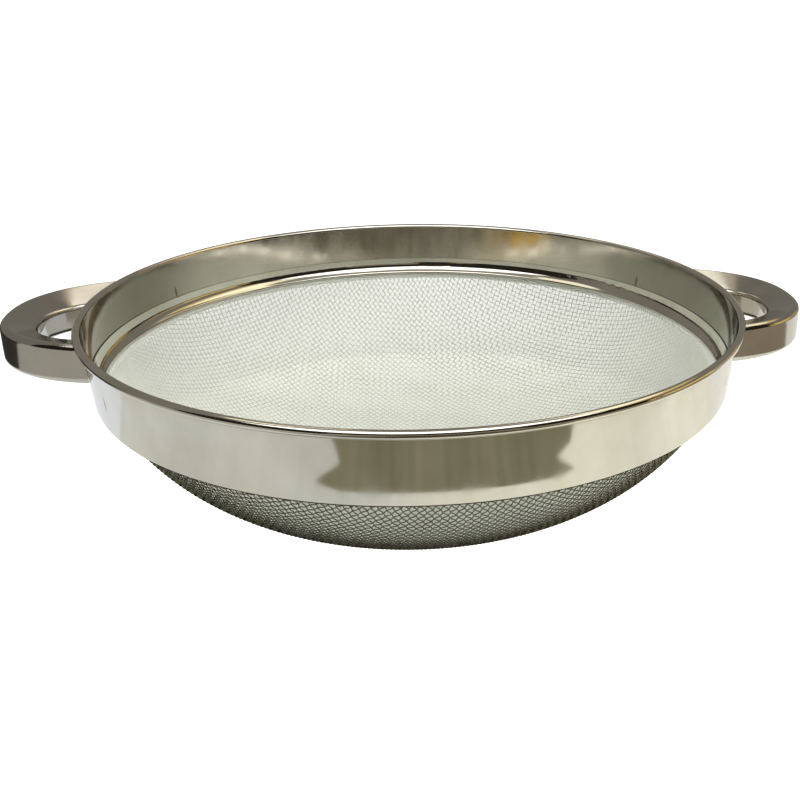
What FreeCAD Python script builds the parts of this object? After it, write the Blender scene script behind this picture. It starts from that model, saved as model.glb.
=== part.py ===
"""Double sieve strainer: a polished steel hoop with a rolled rim, two dished wire meshes clamped
one on the other in its lower edge, and two hollow pressed loop handles welded to its sides.

Frame: +Z up, the handles on the +X and -X sides, origin at the centre of the flat base disc.
Lengths are in millimetres and angles in degrees. Each named piece is written to its own STEP file.
"""
import FreeCAD
import Part
import math
import os

# ---- driving dimensions: hoop ----
RIM_R = 147.0  # radius of the circle through the middle of the rolled bead
RIM_Z = 89.2  # height of that circle above the base
BEAD_R = 1.78  # outer radius of the rolled bead's section
SHEET = 0.65  # hoop sheet thickness
CURL_END = -118.0  # where the curl stops, as an angle in the bead's section
WIRE_R = 1.05  # stiffening wire inside the bead
HOOP_FOOT_R = 143.35  # outer radius of the wall where it meets the bottom corner
HOOP_DROP = 29.8  # from the bead circle down to the hoop's underside
CORNER_R = 2.4  # outer radius of the bottom corner
FLANGE_R = 140.0  # inner edge of the in-turned flange
SEAM_ANGLE = 189.0  # where the strip's two ends meet, seen as an open joint across the bead
SEAM_GAP = 0.3

# ---- driving dimensions: clamp ring inside the hoop ----
RING_SHEET = 0.4
RING_TOP_DROP = 18.3  # from the bead circle down to the ring's upper edge
RING_NOSE_DROP = 25.4  # where the fillet meets the inner nose
RING_NOSE_X = 140.1
RING_NOSE_R = 1.2
RING_LIP_DROP = 26.9  # bottom of its turned-down lip
FILLET_SWEEP = 60.0

# ---- driving dimensions: meshes ----
COARSE_T = 1.3  # two crossed wires of the outer mesh
FINE_T = 0.5  # two crossed wires of the inner mesh
GAP = 0.15  # clearance between neighbouring layers
BRIM_R = 141.4  # cut edge of both meshes, inside the clamp
BEND_X = 139.9  # radius at which the meshes bend down over the flange
BEND_R = 1.0  # bend radius of the outer mesh's lower face
FLAT_R = 42.0  # flat base disc
BOWL_R = 145.3  # bowl curve: radius, depth and the two exponents
BOWL_DEPTH = 85.2
BOWL_POWER = 3.0
BOWL_EASE = 0.6
BOWL_STEPS = 16

# ---- driving dimensions: handles ----
LOOP_X = 120.0  # centre of the loop's outer outline
LOOP_A = 61.3  # its reach along X
LOOP_B = 50.2  # its half width along Y
LOOP_N = 2.2
HOLE_X = 140.0  # centre of the finger hole's outline
HOLE_A = 27.6
HOLE_B = 26.0
HOLE_N = 2.1
LOOP_TOP_DROP = 0.5  # from the bead circle down to the outer top edge
LOOP_HEIGHT = 16.9
DISH = 4.6  # how far the top face falls towards the finger hole
TOP_EDGE_R = 2.8
HOLE_EDGE_R = 2.2
FOOT_EDGE_R = 3.0
LOOP_SHEET = 0.8
LOOP_STEPS = 12
BASE_SHEET = 0.8
BASE_INSET = 5.0  # from the wall's outer face to the closing plate's edge
END_SHEET = 1.0
FIT = 0.1  # clearance where separate sheets meet

UP = FreeCAD.Vector(0, 0, 1)
ORIGIN = FreeCAD.Vector(0, 0, 0)
TAPER = (RIM_R - BEAD_R + SHEET - HOOP_FOOT_R) / (HOOP_DROP - CORNER_R)
TAPER_ANGLE = math.degrees(math.atan(TAPER))
BEND_Z = RIM_Z - HOOP_DROP + SHEET + FIT - BEND_R  # height of the meshes' bend centre


def at(radius, height):
    """A point of a section in the XZ plane."""
    return FreeCAD.Vector(radius, 0, height)


def polar(centre, radius, angle):
    """The point of a section at an angle round a centre."""
    turn = math.radians(angle)
    return at(centre.x + radius * math.cos(turn), centre.z + radius * math.sin(turn))


def line(start, end):
    return Part.makeLine(start, end)


def arc(centre, radius, start, end):
    """A circular arc of a section between two angles."""
    middle = polar(centre, radius, (start + end) / 2)
    return Part.Arc(polar(centre, radius, start), middle, polar(centre, radius, end)).toShape()


def curve(points):
    spline = Part.BSplineCurve()
    spline.interpolate(points)
    return spline.toShape()


def solid_of_revolution(edges):
    """Turns a closed section about the Z axis into one solid."""
    wire = Part.Wire(Part.__sortEdges__(edges))
    return Part.Face(wire).revolve(ORIGIN, UP, 360)


def wall_outer(drop):
    """Outer radius of the hoop's tapered wall at a distance below the bead circle."""
    return RIM_R - BEAD_R + SHEET - TAPER * drop


def bead_joint():
    """The narrow gap across the curl where the hoop strip's two ends meet."""
    over = Part.makeBox(4 * BEAD_R, SEAM_GAP, 2 * BEAD_R, FreeCAD.Vector(-2 * BEAD_R, -SEAM_GAP / 2, 0))
    outside = Part.makeBox(2 * BEAD_R, SEAM_GAP, 4 * BEAD_R, FreeCAD.Vector(0, -SEAM_GAP / 2, -2 * BEAD_R))
    gap = over.fuse(outside)
    gap.translate(at(RIM_R, RIM_Z))
    gap.rotate(ORIGIN, UP, SEAM_ANGLE)
    return gap


def hoop_band():
    """The hoop: rolled bead, tapered wall, bottom corner and in-turned flange in one sheet."""
    bead = at(RIM_R, RIM_Z)
    inner_r = BEAD_R - SHEET
    foot = at(HOOP_FOOT_R - CORNER_R, RIM_Z - HOOP_DROP + CORNER_R)
    underside = RIM_Z - HOOP_DROP
    outer_foot = polar(foot, CORNER_R, -TAPER_ANGLE)
    inner_foot = polar(foot, CORNER_R - SHEET, -TAPER_ANGLE)
    band = solid_of_revolution([
        arc(bead, BEAD_R, 180, CURL_END),
        line(polar(bead, BEAD_R, CURL_END), polar(bead, inner_r, CURL_END)),
        arc(bead, inner_r, CURL_END, 180),
        line(polar(bead, inner_r, 180), outer_foot),
        arc(foot, CORNER_R, -TAPER_ANGLE, -90),
        line(at(foot.x, underside), at(FLANGE_R, underside)),
        line(at(FLANGE_R, underside), at(FLANGE_R, underside + SHEET)),
        line(at(FLANGE_R, underside + SHEET), at(foot.x, underside + SHEET)),
        arc(foot, CORNER_R - SHEET, -90, -TAPER_ANGLE),
        line(inner_foot, polar(bead, BEAD_R, 180)),
    ])
    return band.cut(bead_joint())


def rim_wire():
    """The round wire that the rim is rolled over."""
    return Part.makeTorus(RIM_R, WIRE_R, at(0, RIM_Z), UP)


def clamp_ring():
    """The ring pressed into the hoop: upstand on the wall, fillet, rounded nose and lip on the mesh."""
    back_top = wall_outer(RING_TOP_DROP) - SHEET - FIT
    face_r = wall_outer(RING_NOSE_DROP) - SHEET - FIT - RING_SHEET
    sweep = math.radians(FILLET_SWEEP)
    fillet_r = (face_r - RING_NOSE_X) / (1 - math.cos(sweep) - TAPER * math.sin(sweep))
    nose_z = RIM_Z - RING_NOSE_DROP
    fillet = at(RING_NOSE_X - fillet_r * math.cos(sweep), nose_z + fillet_r * math.sin(sweep))
    back_r = fillet_r + RING_SHEET
    nose_start = 180 - FILLET_SWEEP
    face_nose = polar(fillet, fillet_r, -FILLET_SWEEP)
    nose = at(
        face_nose.x - RING_NOSE_R * math.cos(math.radians(nose_start)),
        face_nose.z - RING_NOSE_R * math.sin(math.radians(nose_start)),
    )
    lip = RIM_Z - RING_LIP_DROP
    top = RIM_Z - RING_TOP_DROP
    inner_nose_r = RING_NOSE_R - RING_SHEET
    return solid_of_revolution([
        line(at(back_top - RING_SHEET, top), polar(fillet, fillet_r, 0)),
        arc(fillet, fillet_r, 0, -FILLET_SWEEP),
        arc(nose, RING_NOSE_R, nose_start, 180),
        line(polar(nose, RING_NOSE_R, 180), at(nose.x - RING_NOSE_R, lip)),
        line(at(nose.x - RING_NOSE_R, lip), at(nose.x - inner_nose_r, lip)),
        line(at(nose.x - inner_nose_r, lip), polar(nose, inner_nose_r, 180)),
        arc(nose, inner_nose_r, 180, nose_start),
        arc(fillet, back_r, -FILLET_SWEEP, 0),
        line(polar(fillet, back_r, 0), at(back_top, top)),
        line(at(back_top, top), at(back_top - RING_SHEET, top)),
    ])


def bowl_rise(radius):
    """Height of the bowl curve at a radius, before the base disc is taken off."""
    return BOWL_DEPTH * (1 - (1 - (radius / BOWL_R) ** BOWL_POWER) ** BOWL_EASE)


def bowl_slope(radius):
    """Slope of the bowl curve at a radius."""
    inside = 1 - (radius / BOWL_R) ** BOWL_POWER
    growth = BOWL_POWER * radius ** (BOWL_POWER - 1) / BOWL_R ** BOWL_POWER
    return BOWL_DEPTH * BOWL_EASE * inside ** (BOWL_EASE - 1) * growth


def bowl_edge(offset):
    """The bowl curve from the base disc to the bend, moved inwards by an offset."""
    end_r = BEND_X - BEND_R * math.sin(math.atan(bowl_slope(BEND_X - BEND_R)))
    bend_angle = math.degrees(math.atan(bowl_slope(end_r)))
    end_z = BEND_Z + BEND_R * math.cos(math.radians(bend_angle))
    scale = end_z / (bowl_rise(end_r) - bowl_rise(FLAT_R))
    points = []
    for step in range(BOWL_STEPS + 1):
        radius = FLAT_R + (end_r - FLAT_R) * math.sin(math.pi / 2 * step / BOWL_STEPS)
        height = scale * (bowl_rise(radius) - bowl_rise(FLAT_R))
        lean = math.atan(scale * bowl_slope(radius))
        points.append(at(radius - offset * math.sin(lean), height + offset * math.cos(lean)))
    return points


def mesh_shell(offset, thickness):
    """One dished mesh as a closed shell: base disc, bowl, bend over the flange and clamped brim."""
    bend = at(BEND_X, BEND_Z)
    faces = []
    for depth in (offset, offset + thickness):
        bowl = bowl_edge(depth)
        reach = BEND_R + depth
        start = math.degrees(math.atan2(bowl[-1].z - bend.z, bowl[-1].x - bend.x))
        middle = polar(bend, reach, (start + 90) / 2)
        knee = Part.Arc(bowl[-1], middle, at(BEND_X, BEND_Z + reach)).toShape()
        faces.append([
            line(at(0, depth), bowl[0]),
            curve(bowl),
            knee,
            line(at(BEND_X, BEND_Z + reach), at(BRIM_R, BEND_Z + reach)),
        ])
    low = BEND_R + offset
    cut_edge = line(at(BRIM_R, BEND_Z + low), at(BRIM_R, BEND_Z + low + thickness))
    axis = line(at(0, offset), at(0, offset + thickness))
    return solid_of_revolution(faces[0] + faces[1] + [cut_edge, axis])


def outline(centre, reach, half_width, power, angle):
    """A point of a rounded loop outline in plan, at an angle round its centre."""
    turn = math.radians(angle)
    across = abs(math.cos(turn) / reach) ** power + abs(math.sin(turn) / half_width) ** power
    radius = across ** (-1 / power)
    return FreeCAD.Vector(centre + radius * math.cos(turn), radius * math.sin(turn), 0)


def loop_section(angle, inset):
    """The closed section of the hollow loop at one angle, drawn inset from the outer faces."""
    outer = outline(LOOP_X, LOOP_A, LOOP_B, LOOP_N, angle)
    inner = outline(HOLE_X, HOLE_A, HOLE_B, HOLE_N, angle)
    inward = (inner - outer).normalize()
    width = (inner - outer).Length
    top = RIM_Z - LOOP_TOP_DROP
    foot = top - LOOP_HEIGHT + inset
    fall = math.atan2(DISH, width)
    edge_r = TOP_EDGE_R - inset
    hole_r = HOLE_EDGE_R - inset
    foot_r = FOOT_EDGE_R - inset

    def place(across, height):
        return outer + inward * across + UP * height

    def round_off(across, height, radius, start, end):
        ends = []
        for turn in (start, (start + end) / 2, end):
            ends.append(place(across + radius * math.cos(turn), height + radius * math.sin(turn)))
        return Part.Arc(ends[0], ends[1], ends[2]).toShape(), ends[0], ends[2]

    right = math.pi / 2
    edge = round_off(TOP_EDGE_R, top - TOP_EDGE_R, edge_r, 2 * right, right - fall)
    hole_top = top - DISH - HOLE_EDGE_R
    hole = round_off(width - HOLE_EDGE_R, hole_top, hole_r, right - fall, 0)
    heel = round_off(width - FOOT_EDGE_R, foot + foot_r, foot_r, 0, -right)
    toe = round_off(FOOT_EDGE_R, foot + foot_r, foot_r, -right, -2 * right)
    rounds = [edge, hole, heel, toe]
    edges = []
    for index, corner in enumerate(rounds):
        edges.append(corner[0])
        edges.append(line(corner[2], rounds[(index + 1) % len(rounds)][1]))
    return Part.Wire(edges)


def loop_solid(inset):
    """The loop handle's body on the +X side, inset from its outer faces."""
    sections = []
    for step in range(LOOP_STEPS + 1):
        sections.append(loop_section(-90 + 180 * step / LOOP_STEPS, inset))
    return Part.makeLoft(sections, True, False)


def base_blank(inset, low, high):
    """A flat loop-shaped plate between two heights, inset from the loop's outer faces."""
    outer = []
    inner = []
    for step in range(2 * LOOP_STEPS + 1):
        angle = -90 + 90 * step / LOOP_STEPS
        outer.append(outline(LOOP_X, LOOP_A - inset, LOOP_B - inset, LOOP_N, angle))
        inner.append(outline(HOLE_X, HOLE_A + inset, HOLE_B + inset, HOLE_N, angle))
    wire = Part.Wire(Part.__sortEdges__([
        curve(outer),
        line(outer[-1], inner[-1]),
        curve(inner),
        line(inner[0], outer[0]),
    ]))
    plate = Part.Face(wire).extrude(UP * (high - low))
    plate.translate(UP * low)
    return plate


def hoop_envelope(grow):
    """Everything inside the hoop's outer face, grown a little, for cutting the handle ends."""
    bottom = RIM_Z - HOOP_DROP - CORNER_R
    wall_drop = RIM_Z - bottom
    return solid_of_revolution([
        line(at(0, bottom), at(wall_outer(wall_drop) + grow, bottom)),
        line(at(wall_outer(wall_drop) + grow, bottom), at(wall_outer(0) + grow, RIM_Z)),
        line(at(wall_outer(0) + grow, RIM_Z), at(wall_outer(0) + grow, RIM_Z + CORNER_R)),
        line(at(wall_outer(0) + grow, RIM_Z + CORNER_R), at(0, RIM_Z + CORNER_R)),
        line(at(0, RIM_Z + CORNER_R), at(0, bottom)),
    ])


def handle_pieces():
    """The three pieces of the +X handle: pressed shell, closing plate and the two end plates."""
    foot = RIM_Z - LOOP_TOP_DROP - LOOP_HEIGHT
    cavity = loop_solid(LOOP_SHEET)
    bead_space = Part.makeTorus(RIM_R, BEAD_R + FIT, at(0, RIM_Z), UP)
    shell = loop_solid(0).cut(cavity)
    shell = shell.cut(base_blank(BASE_INSET, foot - FIT, foot + LOOP_SHEET + FIT))
    shell = shell.cut(hoop_envelope(FIT)).cut(bead_space)
    plate = base_blank(BASE_INSET + FIT, foot, foot + BASE_SHEET)
    plate = plate.cut(hoop_envelope(FIT))
    ends = loop_solid(LOOP_SHEET + FIT).cut(hoop_envelope(FIT))
    ends = ends.common(hoop_envelope(FIT + END_SHEET)).cut(bead_space)
    return {"handle_shell": shell, "handle_base": plate, "handle_end_plates": ends}


def mirrored(shape):
    """The same piece for the -X side."""
    return shape.mirror(ORIGIN, FreeCAD.Vector(1, 0, 0))


def clean(shape):
    """The shape's solids, one solid or a group of separate ones."""
    solids = shape.removeSplitter().Solids
    return solids[0] if len(solids) == 1 else Part.makeCompound(solids)


def build():
    pieces = {
        "hoop_band": hoop_band(),
        "rim_wire": rim_wire(),
        "clamp_ring": clamp_ring(),
        "coarse_mesh": mesh_shell(0, COARSE_T),
        "fine_mesh": mesh_shell(COARSE_T + GAP, FINE_T),
    }
    for name, shape in handle_pieces().items():
        pieces["right_" + name] = shape
        pieces["left_" + name] = mirrored(shape)
    return pieces


os.makedirs("parts", exist_ok=True)
for node, piece in build().items():
    clean(piece).exportStep(f"parts/{node}.step")
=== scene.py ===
"""Double sieve strainer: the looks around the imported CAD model.

The clamp ring, rim wire and handles are the CAD nodes with metal materials. The hoop is turned again
more finely, and the two dished meshes are replaced by woven wires. Lengths are in metres, in the CAD
frame, and angles in degrees.
"""
import bpy
import math
import numpy as np
from mathutils import Euler, Matrix


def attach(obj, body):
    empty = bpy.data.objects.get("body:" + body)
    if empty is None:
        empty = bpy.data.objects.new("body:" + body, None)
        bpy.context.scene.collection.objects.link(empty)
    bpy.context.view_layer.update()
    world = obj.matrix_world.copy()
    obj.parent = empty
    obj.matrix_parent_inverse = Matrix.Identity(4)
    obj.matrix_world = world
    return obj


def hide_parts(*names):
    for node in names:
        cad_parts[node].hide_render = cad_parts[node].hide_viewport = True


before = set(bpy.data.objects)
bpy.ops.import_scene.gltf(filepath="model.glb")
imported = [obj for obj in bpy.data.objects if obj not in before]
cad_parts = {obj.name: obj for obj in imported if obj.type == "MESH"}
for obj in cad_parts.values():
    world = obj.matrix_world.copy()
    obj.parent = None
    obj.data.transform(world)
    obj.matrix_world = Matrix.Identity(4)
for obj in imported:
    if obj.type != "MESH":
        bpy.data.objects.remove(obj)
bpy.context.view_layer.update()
MM = 0.001

# ---- the bowl curve of the meshes, as in the CAD ----
FLAT_R = 42.0 * MM
BOWL_R = 145.3 * MM
BOWL_POWER = 3.0
BOWL_EASE = 0.6
CURVE_END_R = 138.98 * MM
CURVE_END_Z = 59.6 * MM
BEND_R = 1.0 * MM  # where the cloth turns outwards, over the hoop's flange
BEND_X = 139.9 * MM
BEND_Z = 59.15 * MM
BRIM_R = 141.2 * MM  # where the wires are cut, inside the clamp
BRIM_SPARE = 8.0 * MM  # flat stretch past the cut, so that every wire can be cut
CURVE_STEPS = 1500
BEND_STEPS = 24

# ---- weaves ----
COARSE_PITCH = 2.5 * MM
COARSE_WIRE = 0.46 * MM
COARSE_MID = 0.65 * MM  # from the lower face of the mesh to the middle of its wires
COARSE_TURN = 2.0
COARSE_SIDES = 5
COARSE_STEPS = 4  # straight lengths of wire between two crossings
COARSE_GROUPS = 4  # pieces in each direction, so that none has too many triangles
FINE_PITCH = 0.7 * MM
FINE_WIRE = 0.34 * MM
FINE_LIFT = 0.12 * MM  # each layer of fine wires from the middle of the mesh
FINE_MID = 1.7 * MM
FINE_TURN = 9.0
FINE_SIDES = 3
FINE_SKIP = 4  # crossings passed by each straight length of fine wire
FINE_GROUPS = 2
END_STEPS = 6  # crossings near each end that are all kept, round the bend
SPARE_CROSSINGS = 12  # past the profile's length, so that no wire of a net runs short
SOLVER_STEPS = 8
MOST_TURN = 0.05  # radians that one solver step may move a crossing about Z

# ---- hoop section, as in the CAD ----
RIM_R = 146.98 * MM  # a hair inside the CAD rim, whose own box is cut by its facets
RIM_Z = 89.2 * MM
BEAD_R = 1.78 * MM
SHEET = 0.65 * MM
CURL_END = -118.0
HOOP_FOOT_R = 143.35 * MM
HOOP_DROP = 29.8 * MM
CORNER_R = 2.4 * MM
FLANGE_R = 140.0 * MM
SEAM_TURN = 189.0
SEAM_GAP = 0.3 * MM
WALL_SLOPE = (RIM_R - BEAD_R + SHEET - HOOP_FOOT_R) / (HOOP_DROP - CORNER_R)  # inwards per drop
HOOP_STEPS = 900  # straight steps round the hoop
CURL_STEPS = (40, 24)  # steps of the bead's outer and inner arc
CORNER_STEPS = (12, 8)  # steps of the bottom corner's outer and inner arc
SHARP_ANGLE = 35.0  # edges sharper than this aren't shaded smooth

# ---- marks and painted reflection on the hoop's wall ----
WELD_TURN = 31.0  # weld marks on the wall, as an angle from each handle's axis
WELD_DROP = 15.6 * MM
WELD_SIZE = (4.0 * MM, 0.65 * MM, 3.2 * MM)
WELD_EDGE = (1.25, 0.55)  # where a mark starts and is full, as shares of its size
WELD_COLOR = (0.16, 0.14, 0.11)
# painted reflection: where the darker tone for the mirrored dim room starts and is full, from the YZ
# plane, and its colour
PAINTED_REFLECTION_REACH = (85.0 * MM, 140.0 * MM)  # distances from the YZ plane where the side tone starts and is full
PAINTED_REFLECTION_COLOR = (0.30, 0.285, 0.235)

# ---- studio ----
FLOOR_HALF = 12.0
FLOOR_TONE = 0.66
FLOOR_EMISSION = 0.5
WORLD_STRENGTH = 1.5
GLOW_RING = (0.001, 0.17)  # the soft light under the bowl, with a pinhole at its centre
GLOW_COLOR = (2.0, 2.0, 1.8)
SKY_FACET = 5.0  # about the angle that one face of a sky card spans
RING_FACET = 4.0  # about the angle between two corners of a ring sector
CARD_GAP = 0.2 * MM  # from one layer of mirrored floor cards to the next

# ---- mirrored floor: distances from the axis, angles about it, colours ----
NEAR_RING = 0.15
FAR_RING = 0.268
COOL_FLOOR = (0.72, 0.735, 0.69)
CREAM_FLOOR = (1.02, 1.0, 0.86)
CREAM_START = -104.0  # the cool left half turns to cream from here
CREAM_SWEEP = 24.0
PALE_SECTORS = 60
OLIVE_NEAR = 0.2172
OLIVE_FAR = 0.275
OLIVE_TURNS = (-110.0, -62.0)
OLIVE_STRIPS = 32
OLIVE = (0.25, 0.235, 0.155)
OLIVE_END = (0.25, 0.235, 0.15)

# ---- the camera: place, turns about X, Y and Z, lens ----
CAMERA_AT = (-17.97 * MM, -447.46 * MM, 229.86 * MM)
CAMERA_TURNS = (69.740, -1.024, -7.984)
CAMERA_LENS = 45.2
CAMERA_SENSOR = 36.0
CAMERA_SHIFT = (-0.15, -0.0625)
CAMERA_CLIP = (0.01, 60.0)


def add_object(name, mesh_or_camera):
    """A new object in the scene."""
    piece = bpy.data.objects.new(name, mesh_or_camera)
    bpy.context.scene.collection.objects.link(piece)
    return piece


# ---------------------------------------------------------------- bowl and weave

def bowl_ratio(radius):
    """Rise of the bowl curve at a radius, as a share of its depth."""
    return 1 - (1 - (radius / BOWL_R) ** BOWL_POWER) ** BOWL_EASE


def bowl_profile():
    """Radius, height and arc length along the lower face, from the centre to past the clamp."""
    radius = np.linspace(FLAT_R, CURVE_END_R, CURVE_STEPS)
    rise = bowl_ratio(radius) - bowl_ratio(FLAT_R)
    height = CURVE_END_Z * rise / rise[-1]
    start = math.atan2(CURVE_END_Z - BEND_Z, CURVE_END_R - BEND_X)
    turn = np.linspace(start, math.pi / 2, BEND_STEPS)[1:]
    radius = np.concatenate([[0.0], radius, BEND_X + BEND_R * np.cos(turn), [BRIM_R + BRIM_SPARE]])
    height = np.concatenate([[0.0], height, BEND_Z + BEND_R * np.sin(turn), [BEND_Z + BEND_R]])
    length = np.concatenate([[0.0], np.cumsum(np.hypot(np.diff(radius), np.diff(height)))])
    return radius, height, length


PROFILE = bowl_profile()


def on_bowl(length, turn):
    """Points on the bowl at arc lengths from its centre and angles about Z."""
    radius = np.interp(length, PROFILE[2], PROFILE[0])
    height = np.interp(length, PROFILE[2], PROFILE[1])
    return np.stack([radius * np.cos(turn), radius * np.sin(turn), height], -1)


def quarter_net(pitch):
    """A quarter of a wire cloth pressed onto the bowl.

    Every cell keeps its four sides' length, and the two wires through the centre stay straight in
    plan. Crossings past the profile's end are NaN.
    """
    end = PROFILE[2][-1]
    count = int(end / pitch) + SPARE_CROSSINGS
    along = np.arange(count) * pitch
    along[along > end] = np.nan
    points = np.full((count, count, 3), np.nan)
    points[:, 0] = on_bowl(along, np.zeros(count))
    points[0, :] = on_bowl(along, np.full(count, math.pi / 2))
    for diagonal in range(2, 2 * count - 1):
        i = np.arange(max(1, diagonal - count + 1), min(count - 1, diagonal - 1) + 1)
        j = diagonal - i
        known = np.isfinite(points[i - 1, j, 0]) & np.isfinite(points[i, j - 1, 0])
        if not known.any():
            break
        i, j = i[known], j[known]
        points[i, j] = fourth_corner(points[i - 1, j], points[i, j - 1], points[i - 1, j - 1], pitch)
    return points


def fourth_corner(first, second, behind, pitch):
    """The outer corner of each cell: on the bowl, one pitch from both neighbours (Newton's method)."""
    end = PROFILE[2][-1]
    guess = first + second - behind
    turn = np.arctan2(guess[:, 1], guess[:, 0])
    length = np.interp(np.hypot(guess[:, 0], guess[:, 1]), PROFILE[0], PROFILE[2])
    tiny = 1e-6
    for _ in range(SOLVER_STEPS):
        point = on_bowl(length, turn)
        by_length = (on_bowl(length + tiny, turn) - on_bowl(length - tiny, turn)) / (2 * tiny)
        by_turn = (on_bowl(length, turn + tiny) - on_bowl(length, turn - tiny)) / (2 * tiny)
        to_first = point - first
        to_second = point - second
        miss_1 = (to_first ** 2).sum(1) - pitch ** 2
        miss_2 = (to_second ** 2).sum(1) - pitch ** 2
        a = 2 * (to_first * by_length).sum(1)
        b = 2 * (to_first * by_turn).sum(1)
        c = 2 * (to_second * by_length).sum(1)
        d = 2 * (to_second * by_turn).sum(1)
        scale = a * d - b * c
        length_step = np.clip((d * miss_1 - b * miss_2) / scale, -pitch, pitch)
        length = np.minimum(length - length_step, end)
        turn = turn - np.clip((a * miss_2 - c * miss_1) / scale, -MOST_TURN, MOST_TURN)
    corner = on_bowl(length, turn)
    corner[length >= end - tiny] = np.nan
    return corner


def whole_net(pitch, turn_deg):
    """The whole cloth as a square grid of crossings, from four turned quarters."""
    quarter = quarter_net(pitch)
    count = quarter.shape[0]
    net = np.full((2 * count - 1, 2 * count - 1, 3), np.nan)
    middle = count - 1
    steps = np.arange(count)
    i, j = np.meshgrid(steps, steps, indexing="ij")
    for quarter_turn in range(4):
        angle = math.radians(45 + turn_deg + 90 * quarter_turn)
        cos, sin = math.cos(angle), math.sin(angle)
        turned = quarter.copy()
        turned[..., 0] = cos * quarter[..., 0] - sin * quarter[..., 1]
        turned[..., 1] = sin * quarter[..., 0] + cos * quarter[..., 1]
        step_i = (i, -j, -i, j)[quarter_turn]
        step_j = (j, i, -j, -i)[quarter_turn]
        net[middle + step_i, middle + step_j] = turned
    return net


def surface_normals(points):
    """Unit normals of the bowl at points, upwards and inwards."""
    radius = np.hypot(points[:, 0], points[:, 1])
    slope = np.interp(radius, PROFILE[0][1:], np.gradient(PROFILE[1][1:], PROFILE[0][1:]))
    slope = np.where(radius < FLAT_R, 0.0, slope)
    away = points[:, :2] / np.maximum(radius, 1e-9)[:, None]
    normal = np.column_stack([-away * slope[:, None], np.ones(len(points))])
    return normal / np.linalg.norm(normal, axis=1)[:, None]


def wire_runs(net):
    """The grid's rows of crossings, cut where they enter the clamp: (points, first column) each."""
    runs = []
    for row in net:
        inside = np.isfinite(row[:, 0]) & (np.hypot(row[:, 0], row[:, 1]) < BRIM_R)
        columns = np.flatnonzero(inside)
        if len(columns) < 2:
            continue
        first, last = columns[0], columns[-1]
        points = [row[first:last + 1]]
        if first > 0 and np.isfinite(row[first - 1, 0]):
            points.insert(0, cut_point(row[first], row[first - 1], BRIM_R)[None])
            first -= 1
        if last + 1 < len(row) and np.isfinite(row[last + 1, 0]):
            points.append(cut_point(row[last], row[last + 1], BRIM_R)[None])
        runs.append((np.concatenate(points), first))
    return runs


def cut_point(inner, outer, radius):
    """Where the line from an inner to an outer crossing reaches a radius."""
    r_in = math.hypot(inner[0], inner[1])
    r_out = math.hypot(outer[0], outer[1])
    return inner + (outer - inner) * (radius - r_in) / (r_out - r_in)


def waved_line(points, first, side, middle, wire, steps):
    """A wire passing over and under its crossings, as a denser line with its surface normals."""
    index = np.arange(len(points))
    fine = np.linspace(0, len(points) - 1, (len(points) - 1) * steps + 1)
    line = np.column_stack([np.interp(fine, index, points[:, k]) for k in range(3)])
    line[:, 2] = np.interp(np.hypot(line[:, 0], line[:, 1]), PROFILE[0], PROFILE[1])
    normal = surface_normals(line)
    wave = side * np.cos(math.pi * (fine + first)) * wire / 2
    return line + normal * (middle + wave)[:, None], normal


def level_line(points, side, middle, lift, skip):
    """A wire lying on one side of the cloth, through every few crossings."""
    count = len(points)
    edge = np.arange(min(END_STEPS, count))
    keep = np.unique(np.concatenate([np.arange(0, count, skip), edge, count - 1 - edge]))
    line = points[keep]
    normal = surface_normals(line)
    return line + normal * (middle + side * lift), normal


def tube(line, normal, wire, sides):
    """Rings of points round a line, with closed ends: (points, quads, end caps)."""
    along = np.gradient(line, axis=0)
    along /= np.linalg.norm(along, axis=1)[:, None]
    across = np.cross(along, normal)
    across /= np.linalg.norm(across, axis=1)[:, None]
    up = np.cross(across, along)
    angle = 2 * math.pi * (np.arange(sides) + 0.5) / sides
    ring = across[:, None] * np.cos(angle)[None, :, None] + up[:, None] * np.sin(angle)[None, :, None]
    points = (line[:, None] + ring * wire / 2).reshape(-1, 3)
    here = np.arange(len(line) - 1)[:, None] * sides + np.arange(sides)[None]
    after = np.arange(len(line) - 1)[:, None] * sides + (np.arange(sides)[None] + 1) % sides
    quads = np.stack([here, after, after + sides, here + sides], -1).reshape(-1, 4)
    last = (len(line) - 1) * sides
    caps = [np.arange(sides)[::-1], last + np.arange(sides)]
    return points, quads, caps


def wire_piece(name, lines, wire, sides, material):
    """One mesh object of many closed wires."""
    points, quads, caps = [], [], []
    start = 0
    for line, normal in lines:
        tube_points, tube_quads, tube_caps = tube(line, normal, wire, sides)
        points.append(tube_points)
        quads.append(tube_quads + start)
        caps.extend(cap + start for cap in tube_caps)
        start += len(tube_points)
    points = np.concatenate(points)
    quads = np.concatenate(quads)
    corners = np.concatenate([quads.ravel(), np.concatenate(caps)])
    totals = np.concatenate([np.full(len(quads), 4), np.full(len(caps), sides)])
    starts = np.concatenate([[0], np.cumsum(totals)[:-1]])
    mesh = bpy.data.meshes.new(name)
    mesh.vertices.add(len(points))
    mesh.vertices.foreach_set("co", points.astype(np.float32).ravel())
    mesh.loops.add(len(corners))
    mesh.loops.foreach_set("vertex_index", corners.astype(np.int32))
    mesh.polygons.add(len(totals))
    mesh.polygons.foreach_set("loop_start", starts.astype(np.int32))
    mesh.polygons.foreach_set("loop_total", totals.astype(np.int32))
    mesh.polygons.foreach_set("use_smooth", np.ones(len(totals), bool))
    mesh.update(calc_edges=True)
    mesh.validate()
    mesh.materials.append(material)
    piece = add_object(name, mesh)
    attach(piece, "root")
    return piece


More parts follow.
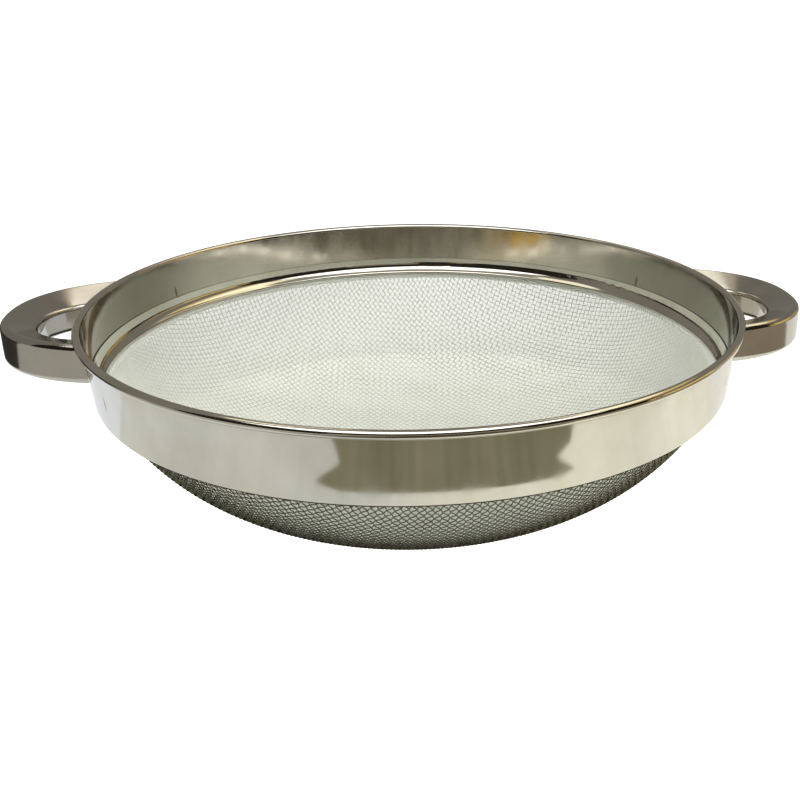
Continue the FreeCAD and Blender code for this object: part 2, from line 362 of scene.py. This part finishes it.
def weave(name, node, net, make_line, wire, sides, groups, material):
    """Both directions of a woven mesh, each in a few pieces, standing for one CAD node."""
    for word, side, grid in (("warp", 1, net), ("weft", -1, net.transpose(1, 0, 2))):
        runs = wire_runs(grid)
        share = math.ceil(len(runs) / groups)
        for group in range(groups):
            rows = range(group * share, min((group + 1) * share, len(runs)))
            lines = [make_line(*runs[row], side, row) for row in rows]
            piece = wire_piece(f"{name}_{word}_{group + 1}", lines, wire, sides, material)
            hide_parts(node)


# ---------------------------------------------------------------- hoop

def arc_points(centre, radius, start_deg, end_deg, steps):
    """Points on an arc in the section plane, as (radius from the axis, height)."""
    turns = [math.radians(start_deg + (end_deg - start_deg) * k / steps) for k in range(steps + 1)]
    return [(centre[0] + radius * math.cos(t), centre[1] + radius * math.sin(t)) for t in turns]


def turned_part(mesh_parts, section, start_deg, sweep_deg, steps):
    """Adds a closed section turned about Z, with end faces when it stops short of a full turn."""
    points, faces = mesh_parts
    base = len(points)
    count = len(section)
    full = sweep_deg >= 360
    rings = steps if full else steps + 1
    for ring in range(rings):
        turn = math.radians(start_deg + sweep_deg * ring / steps)
        points.extend((r * math.cos(turn), r * math.sin(turn), z) for r, z in section)
    for ring in range(steps):
        here = base + ring * count
        after = base + (ring + 1) % rings * count
        for k in range(count):
            nxt = (k + 1) % count
            faces.append((here + k, here + nxt, after + nxt, after + k))
    if not full:
        faces.append(tuple(base + k for k in reversed(range(count))))
        faces.append(tuple(base + steps * count + k for k in range(count)))


def make_hoop(metal, inner_metal):
    """The hoop with its rolled bead, turned finely so that its reflections run smoothly."""
    bead = (RIM_R, RIM_Z)
    foot = (HOOP_FOOT_R - CORNER_R, RIM_Z - HOOP_DROP + CORNER_R)
    underside = RIM_Z - HOOP_DROP
    taper = math.degrees(math.atan(WALL_SLOPE))
    curl = arc_points(bead, BEAD_R, CURL_END, 180, CURL_STEPS[0])
    curl += arc_points(bead, BEAD_R - SHEET, 180, CURL_END, CURL_STEPS[1])
    wall = [(RIM_R - BEAD_R, RIM_Z)]
    wall += arc_points(foot, CORNER_R - SHEET, -taper, -90, CORNER_STEPS[1])
    wall += [(FLANGE_R, underside + SHEET), (FLANGE_R, underside)]
    wall += arc_points(foot, CORNER_R, -90, -taper, CORNER_STEPS[0])
    wall += [(RIM_R - BEAD_R + SHEET, RIM_Z)]
    points, faces = [], []
    gap = math.degrees(SEAM_GAP / RIM_R)
    turned_part((points, faces), curl, SEAM_TURN + gap / 2, 360 - gap, HOOP_STEPS)
    turned_part((points, faces), wall, 0, 360, HOOP_STEPS)
    mesh = bpy.data.meshes.new("hoop_sheet")
    mesh.from_pydata(points, [], faces)
    mesh.shade_smooth()
    mesh.set_sharp_from_angle(angle=math.radians(SHARP_ANGLE))
    mesh.materials.append(metal)
    mesh.materials.append(inner_metal)
    # The wall's first face in each step round is its inside, from the bead to the bottom corner.
    metals = np.zeros(len(faces), np.int32)
    first_wall_face = len(faces) - HOOP_STEPS * len(wall)
    metals[first_wall_face::len(wall)] = 1
    mesh.polygons.foreach_set("material_index", metals)
    hoop = add_object("hoop_sheet", mesh)
    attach(hoop, "root")
    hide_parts("hoop_band")


# ---------------------------------------------------------------- materials

def new_material(name, color, metallic, roughness):
    """A node material with its principled shader's plain values set."""
    material = bpy.data.materials.new(name)
    material.use_nodes = True
    shader = material.node_tree.nodes["Principled BSDF"]
    shader.inputs["Base Color"].default_value = (*color, 1)
    shader.inputs["Metallic"].default_value = metallic
    shader.inputs["Roughness"].default_value = roughness
    return material, material.node_tree, shader


def noise(tree, scale, detail, stretch=(1, 1, 1)):
    """A noise field in object coordinates, stretched along the axes."""
    coords = tree.nodes.new("ShaderNodeTexCoord")
    mapping = tree.nodes.new("ShaderNodeMapping")
    mapping.inputs["Scale"].default_value = stretch
    field = tree.nodes.new("ShaderNodeTexNoise")
    field.inputs["Scale"].default_value = scale
    field.inputs["Detail"].default_value = detail
    tree.links.new(coords.outputs["Object"], mapping.inputs["Vector"])
    tree.links.new(mapping.outputs["Vector"], field.inputs["Vector"])
    return field.outputs["Fac"]


def spread(tree, value, low, high):
    """Maps the middle of a noise field's values onto a range."""
    node = tree.nodes.new("ShaderNodeMapRange")
    node.inputs["From Min"].default_value = 0.3
    node.inputs["From Max"].default_value = 0.7
    node.inputs["To Min"].default_value = low
    node.inputs["To Max"].default_value = high
    tree.links.new(value, node.inputs["Value"])
    return node.outputs["Result"]


def blend_colors(tree, value, first, second):
    """A colour between two colours."""
    node = tree.nodes.new("ShaderNodeMix")
    node.data_type = "RGBA"
    node.inputs["A"].default_value = (*first, 1)
    node.inputs["B"].default_value = (*second, 1)
    tree.links.new(value, node.inputs["Factor"])
    return node.outputs["Result"]


def bump(tree, shader, value, distance):
    """Surface relief in a shader, at full strength."""
    node = tree.nodes.new("ShaderNodeBump")
    node.inputs["Distance"].default_value = distance
    node.inputs["Strength"].default_value = 1.0
    tree.links.new(value, node.inputs["Height"])
    tree.links.new(node.outputs["Normal"], shader.inputs["Normal"])


def polished_steel(name, light, dark, smooth, dull, waves):
    """Mirror-polished sheet: faint cloudy colour, wiped streaks in its gloss, slow ripples."""
    material, tree, shader = new_material(name, light, 1.0, smooth)
    clouds = noise(tree, scale=42, detail=5)
    tone = blend_colors(tree, spread(tree, clouds, 0, 1), light, dark)
    tree.links.new(tone, shader.inputs["Base Color"])
    streaks = noise(tree, scale=90, detail=5, stretch=(1, 1, 0.2))
    tree.links.new(spread(tree, streaks, smooth, dull), shader.inputs["Roughness"])
    ripples = noise(tree, scale=30, detail=1, stretch=(1, 1, 0.5))
    bump(tree, shader, ripples, waves)
    return material


def tint(material, amount, color):
    """Lays a colour over a material's own, by an amount from 0 to 1."""
    tree = material.node_tree
    base = tree.nodes["Principled BSDF"].inputs["Base Color"]
    node = tree.nodes.new("ShaderNodeMix")
    node.data_type = "RGBA"
    node.inputs["B"].default_value = (*color, 1)
    tree.links.new(amount, node.inputs["Factor"])
    tree.links.new(base.links[0].from_socket, node.inputs["A"])
    tree.links.new(node.outputs["Result"], base)


def paint_side_reflection(material):
    """Painted reflection: a darker tone inside the wall near the two handles, standing for the dim room it
    mirrors.
    """
    tree = material.node_tree
    coords = tree.nodes.new("ShaderNodeTexCoord")
    split = tree.nodes.new("ShaderNodeSeparateXYZ")
    size = tree.nodes.new("ShaderNodeMath")
    size.operation = "ABSOLUTE"
    reach = tree.nodes.new("ShaderNodeMapRange")
    reach.interpolation_type = "SMOOTHSTEP"
    reach.inputs["From Min"].default_value = PAINTED_REFLECTION_REACH[0]
    reach.inputs["From Max"].default_value = PAINTED_REFLECTION_REACH[1]
    tree.links.new(coords.outputs["Object"], split.inputs["Vector"])
    tree.links.new(split.outputs["X"], size.inputs[0])
    tree.links.new(size.outputs["Value"], reach.inputs["Value"])
    tint(material, reach.outputs["Result"], PAINTED_REFLECTION_COLOR)


def vector_step(tree, operation, vector, by=None):
    """One vector operation, by a fixed vector where it needs one."""
    node = tree.nodes.new("ShaderNodeVectorMath")
    node.operation = operation
    tree.links.new(vector, node.inputs[0])
    if by:
        node.inputs[1].default_value = by
    return node


def add_weld_marks(material):
    """Four short dark marks where the handles' plates are spot-welded to the wall."""
    tree = material.node_tree
    wall_r = RIM_R - BEAD_R + SHEET / 2 - WALL_SLOPE * WELD_DROP
    turn = math.radians(WELD_TURN)
    centre = (wall_r * math.cos(turn), wall_r * math.sin(turn), RIM_Z - WELD_DROP)
    coords = tree.nodes.new("ShaderNodeTexCoord")
    fold = vector_step(tree, "ABSOLUTE", coords.outputs["Object"])
    shift = vector_step(tree, "SUBTRACT", fold.outputs["Vector"], centre)
    shrink = vector_step(tree, "DIVIDE", shift.outputs["Vector"], WELD_SIZE)
    reach = vector_step(tree, "LENGTH", shrink.outputs["Vector"])
    edge = tree.nodes.new("ShaderNodeMapRange")
    edge.inputs["From Min"].default_value = WELD_EDGE[0]
    edge.inputs["From Max"].default_value = WELD_EDGE[1]
    tree.links.new(reach.outputs["Value"], edge.inputs["Value"])
    tint(material, edge.outputs["Result"], WELD_COLOR)


def wire_steel(name, light, dark, metallic, smooth, dull, scale):
    """Drawn wire: tone and gloss that change from place to place."""
    material, tree, shader = new_material(name, light, metallic, smooth)
    tone = noise(tree, scale, detail=2)
    tree.links.new(blend_colors(tree, tone, light, dark), shader.inputs["Base Color"])
    gloss = noise(tree, scale * 3, detail=1)
    tree.links.new(spread(tree, gloss, smooth, dull), shader.inputs["Roughness"])
    return material


def plain_floor():
    """Pale floor that gives off part of its brightness, so that shadows on it stay faint."""
    color = (FLOOR_TONE, FLOOR_TONE, FLOOR_TONE)
    material, _, shader = new_material("studio_floor", color, metallic=0.0, roughness=0.9)
    shader.inputs["Specular IOR Level"].default_value = 0.0
    shader.inputs["Emission Color"].default_value = (1, 1, 1, 1)
    shader.inputs["Emission Strength"].default_value = FLOOR_EMISSION
    return material


# ---------------------------------------------------------------- pieces

def dress_cad_nodes():
    """Puts the metals on the CAD nodes that stay in view, and makes the hoop from them."""
    hoop = polished_steel("hoop_steel", light=(0.72, 0.70, 0.65), dark=(0.64, 0.61, 0.54),
                          smooth=0.04, dull=0.12, waves=0.2 * MM)
    add_weld_marks(hoop)
    handle = polished_steel("handle_steel", light=(0.62, 0.60, 0.57), dark=(0.54, 0.52, 0.48),
                            smooth=0.07, dull=0.17, waves=0.3 * MM)
    wire = wire_steel("rim_wire_steel", light=(0.6, 0.6, 0.58), dark=(0.5, 0.5, 0.48),
                      metallic=1.0, smooth=0.3, dull=0.4, scale=300)
    plate = wire_steel("bracket_steel", light=(0.6, 0.59, 0.56), dark=(0.48, 0.47, 0.45),
                       metallic=1.0, smooth=0.25, dull=0.4, scale=90)
    for node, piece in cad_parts.items():
        if node in ("coarse_mesh", "fine_mesh", "hoop_band"):
            continue
        metal = plate
        if node == "clamp_ring":
            metal = hoop
        elif node == "rim_wire":
            metal = wire
        elif "handle_shell" in node or "handle_base" in node:
            metal = handle
        piece.data.materials.clear()
        piece.data.materials.append(metal)
    # The inner face is the same steel painted a little darker and warmer as painted shade, and it gets the
    # painted reflection near the handles.
    inner = polished_steel("hoop_inner_steel", light=(0.70, 0.67, 0.60), dark=(0.62, 0.59, 0.51),
                           smooth=0.05, dull=0.13, waves=0.2 * MM)
    paint_side_reflection(inner)
    add_weld_marks(inner)
    make_hoop(hoop, inner)


def coarse_line(points, first, side, row):
    """One coarse wire; neighbouring rows pass over and under the other way round."""
    return waved_line(points, first + row, side, COARSE_MID, COARSE_WIRE, COARSE_STEPS)


def fine_line(points, first, side, row):
    """One fine wire; its first crossing and its row make no difference."""
    return level_line(points, side, FINE_MID, FINE_LIFT, FINE_SKIP)


def make_meshes():
    """The coarse outer weave and the fine inner one."""
    # The coarse wire's dark base colour is partly dull drawn wire and partly painted shade for the shadow
    # under the bowl.
    coarse = wire_steel("coarse_wire_steel", light=(0.26, 0.25, 0.20), dark=(0.12, 0.11, 0.08),
                        metallic=1.0, smooth=0.26, dull=0.40, scale=140)
    fine = wire_steel("fine_wire_steel", light=(0.90, 0.925, 0.84), dark=(0.80, 0.825, 0.73),
                      metallic=0.30, smooth=0.28, dull=0.40, scale=60)
    coarse_net = whole_net(COARSE_PITCH, COARSE_TURN)
    weave("coarse_wire", "coarse_mesh", coarse_net, coarse_line,
          COARSE_WIRE, COARSE_SIDES, COARSE_GROUPS, coarse)
    fine_net = whole_net(FINE_PITCH, FINE_TURN)
    weave("fine_wire", "fine_mesh", fine_net, fine_line,
          FINE_WIRE, FINE_SIDES, FINE_GROUPS, fine)


# ---------------------------------------------------------------- studio

def card(name, points, faces, color, mirrored=True):
    """A coloured card that only shows in reflections, or only as soft light when not mirrored."""
    mesh = bpy.data.meshes.new(name)
    mesh.from_pydata(points, [], faces)
    material = bpy.data.materials.new(name)
    material.use_nodes = True
    tree = material.node_tree
    tree.nodes.clear()
    light = tree.nodes.new("ShaderNodeEmission")
    light.inputs["Color"].default_value = (*color, 1)
    light.inputs["Strength"].default_value = 1.0
    output = tree.nodes.new("ShaderNodeOutputMaterial")
    tree.links.new(light.outputs["Emission"], output.inputs["Surface"])
    mesh.materials.append(material)
    piece = add_object(name, mesh)
    piece.visible_camera = False
    piece.visible_diffuse = not mirrored
    piece.visible_glossy = mirrored
    piece.visible_transmission = False
    piece.visible_shadow = False


def floor_card(name, points, color, layer=1):
    """A card lying on the floor; a higher layer covers a lower one."""
    card(name, [(x, y, CARD_GAP * layer) for x, y in points], [tuple(range(len(points)))], color)


def sky_card(name, azimuths, elevations, color, reach=3.0):
    """A patch of the mirrored room at a distance, between two azimuths and two elevations."""
    steps = max(2, int((azimuths[1] - azimuths[0]) / SKY_FACET))
    rows = max(1, int((elevations[1] - elevations[0]) / SKY_FACET))
    points, faces = [], []
    for row in range(rows + 1):
        lift = math.radians(elevations[0] + (elevations[1] - elevations[0]) * row / rows)
        for step in range(steps + 1):
            turn = math.radians(azimuths[0] + (azimuths[1] - azimuths[0]) * step / steps)
            flat = reach * math.cos(lift)
            points.append((flat * math.cos(turn), flat * math.sin(turn), reach * math.sin(lift)))
    for row in range(rows):
        for step in range(steps):
            corner = row * (steps + 1) + step
            faces.append((corner, corner + 1, corner + steps + 2, corner + steps + 1))
    card(name, points, faces, color)


def studio():
    """Pale floor, even surroundings, a soft light under the bowl, and the cards that the metal mirrors."""
    mesh = bpy.data.meshes.new("floor")
    corners = rectangle(-FLOOR_HALF, FLOOR_HALF, -FLOOR_HALF, FLOOR_HALF)
    mesh.from_pydata([(x, y, 0) for x, y in corners], [], [(0, 1, 2, 3)])
    mesh.materials.append(plain_floor())
    add_object("floor", mesh)
    world = bpy.data.worlds.new("studio")
    bpy.context.scene.world = world
    world.use_nodes = True
    backdrop = world.node_tree.nodes["Background"]
    backdrop.inputs["Color"].default_value = (1.0, 1.0, 1.0, 1)
    backdrop.inputs["Strength"].default_value = WORLD_STRENGTH
    world.cycles_visibility.glossy = False
    mirrored_room()
    mirrored_floor()
    glow = [(x, y, CARD_GAP / 2) for x, y in ring_sector(-180, 180, *GLOW_RING)]
    card("floor_glow", glow, [tuple(range(len(glow)))], GLOW_COLOR, mirrored=False)


def mirrored_room():
    """What the metal mirrors above the floor: a dim room with windows and lamps round it.

    Each card has its azimuths, its elevations, its colour and how far off it is.
    """
    sky_card("room", (-180, 180), (-2, 90), (0.22, 0.205, 0.175), 3.2)
    sky_card("ceiling", (-180, 180), (62, 90), (0.34, 0.33, 0.29), 3.1)
    sky_card("front_shade", (-168, -12), (-2, 44), (0.022, 0.018, 0.014))
    sky_card("front_glow", (-120, -62), (1, 14), (0.34, 0.29, 0.22), 2.9)
    sky_card("front_lamp", (-160, -20), (44, 80), (2.6, 2.6, 2.5))
    sky_card("lamp_left", (98, 107), (44, 54), (1.5, 1.4, 1.18), 2.9)
    sky_card("lamp_left_glow", (96, 110), (39, 57), (0.62, 0.5, 0.34))
    sky_card("lamp_right", (62, 73), (44, 54), (1.5, 1.42, 1.22), 2.9)
    sky_card("lamp_right_glow", (57, 78), (39, 58), (0.62, 0.54, 0.42))
    sky_card("window_right", (-14, 48), (45, 63), (1.5, 1.38, 1.0))
    sky_card("window_right_sill", (-14, 48), (37, 45), (0.85, 0.62, 0.26))
    sky_card("window_left", (128, 168), (56, 68), (1.35, 1.27, 1.02))
    sky_card("warm_side", (-18, 14), (-1, 15), (1.0, 0.68, 0.20))
    sky_card("warm_corner", (14, 36), (-1, 15), (0.5, 0.38, 0.19))


def ring_sector(start_deg, end_deg, inner, outer):
    """Corners of a flat ring sector about the origin."""
    steps = max(2, int((end_deg - start_deg) / RING_FACET))
    turns = [math.radians(start_deg + (end_deg - start_deg) * k / steps) for k in range(steps + 1)]
    near = [(inner * math.cos(t), inner * math.sin(t)) for t in turns]
    far = [(outer * math.cos(t), outer * math.sin(t)) for t in reversed(turns)]
    return near + far


def rectangle(left, right, near, far):
    """Corners of a flat rectangle."""
    return [(left, near), (right, near), (right, far), (left, far)]


def polar(turn_deg, radius):
    """A point on the floor at an angle and a distance from the origin."""
    return (radius * math.cos(math.radians(turn_deg)), radius * math.sin(math.radians(turn_deg)))


def mirrored_floor():
    """What the metal mirrors on the floor: dark far off, pale close by, an olive shape in front."""
    floor_card("far_floor", ring_sector(-180, 180, 0.02, 3.0), (0.045, 0.04, 0.034), 1)
    floor_card("left_patch", rectangle(-2, -0.16, -1.2, 0.02), (0.46, 0.44, 0.385), 1.5)
    floor_card("right_patch", rectangle(0.16, 2, -1.2, 0.02), (0.32, 0.265, 0.19), 1.5)
    floor_card("left_side", rectangle(-0.3, -0.2, 0.02, 0.8), (0.82, 0.86, 0.92), 1.5)
    floor_card("right_side", rectangle(0.2, 0.8, 0.02, 0.8), (0.95, 0.93, 0.86), 1.5)
    floor_card("back_left", ring_sector(90, 180, NEAR_RING, FAR_RING), (0.84, 0.87, 0.90), 2)
    floor_card("back_right", ring_sector(0, 90, NEAR_RING, FAR_RING), (0.95, 0.93, 0.86), 2)
    pale_front()
    olive_shape()


def pale_front():
    """The pale floor in front, cool on the left and cream on the right, in sectors of uneven tone."""
    step = 180 / PALE_SECTORS
    for k in range(PALE_SECTORS):
        tone = 1 + 0.015 * math.sin(2.1 * k) + 0.05 * math.sin(0.5 * k)
        turn = -180 + step * k
        warm = min(max((turn - CREAM_START) / CREAM_SWEEP, 0), 1)
        color = [tone * (cool + (cream - cool) * warm) for cool, cream in zip(COOL_FLOOR, CREAM_FLOOR)]
        floor_card(f"pale_{k}", ring_sector(turn, turn + step, NEAR_RING, FAR_RING), color, 2)


def olive_shape():
    """The dark olive reflection in the middle of the hoop: a ring sector with jagged ends."""
    start, end = OLIVE_TURNS
    step = (end - start) / OLIVE_STRIPS
    for k in range(OLIVE_STRIPS):
        tone = 1 + 0.06 * math.sin(2.4 * k) + 0.08 * math.sin(0.6 * k + 1)
        turn = start + step * k
        color = [tone * part for part in OLIVE]
        floor_card(f"olive_{k}", ring_sector(turn, turn + step, OLIVE_NEAR, OLIVE_FAR), color, 3)
    left = [polar(-116, 0.223), polar(-114.7, 0.228), polar(-110.7, 0.241), polar(-112, 0.255)]
    left += [polar(-114, OLIVE_FAR), polar(start, OLIVE_FAR), polar(start, OLIVE_NEAR)]
    right = [polar(-57, 0.222), polar(-61, 0.234), polar(-57, 0.247), polar(-55, OLIVE_FAR)]
    right += [polar(end, OLIVE_FAR), polar(end, OLIVE_NEAR)]
    floor_card("olive_left", left, OLIVE_END, 3)
    floor_card("olive_right", right, OLIVE_END, 3)


def camera():
    """The photo's camera, solved from the bead's ellipses and the handles."""
    data = bpy.data.cameras.new("camera")
    data.sensor_width = CAMERA_SENSOR
    data.lens = CAMERA_LENS
    data.shift_x, data.shift_y = CAMERA_SHIFT
    data.clip_start, data.clip_end = CAMERA_CLIP
    view = add_object("camera", data)
    turns = Euler([math.radians(turn) for turn in CAMERA_TURNS])
    view.matrix_world = Matrix.Translation(CAMERA_AT) @ turns.to_matrix().to_4x4()
    bpy.context.scene.camera = view


dress_cad_nodes()
make_meshes()
studio()
camera()
bpy.context.scene.view_settings.view_transform = "Standard"
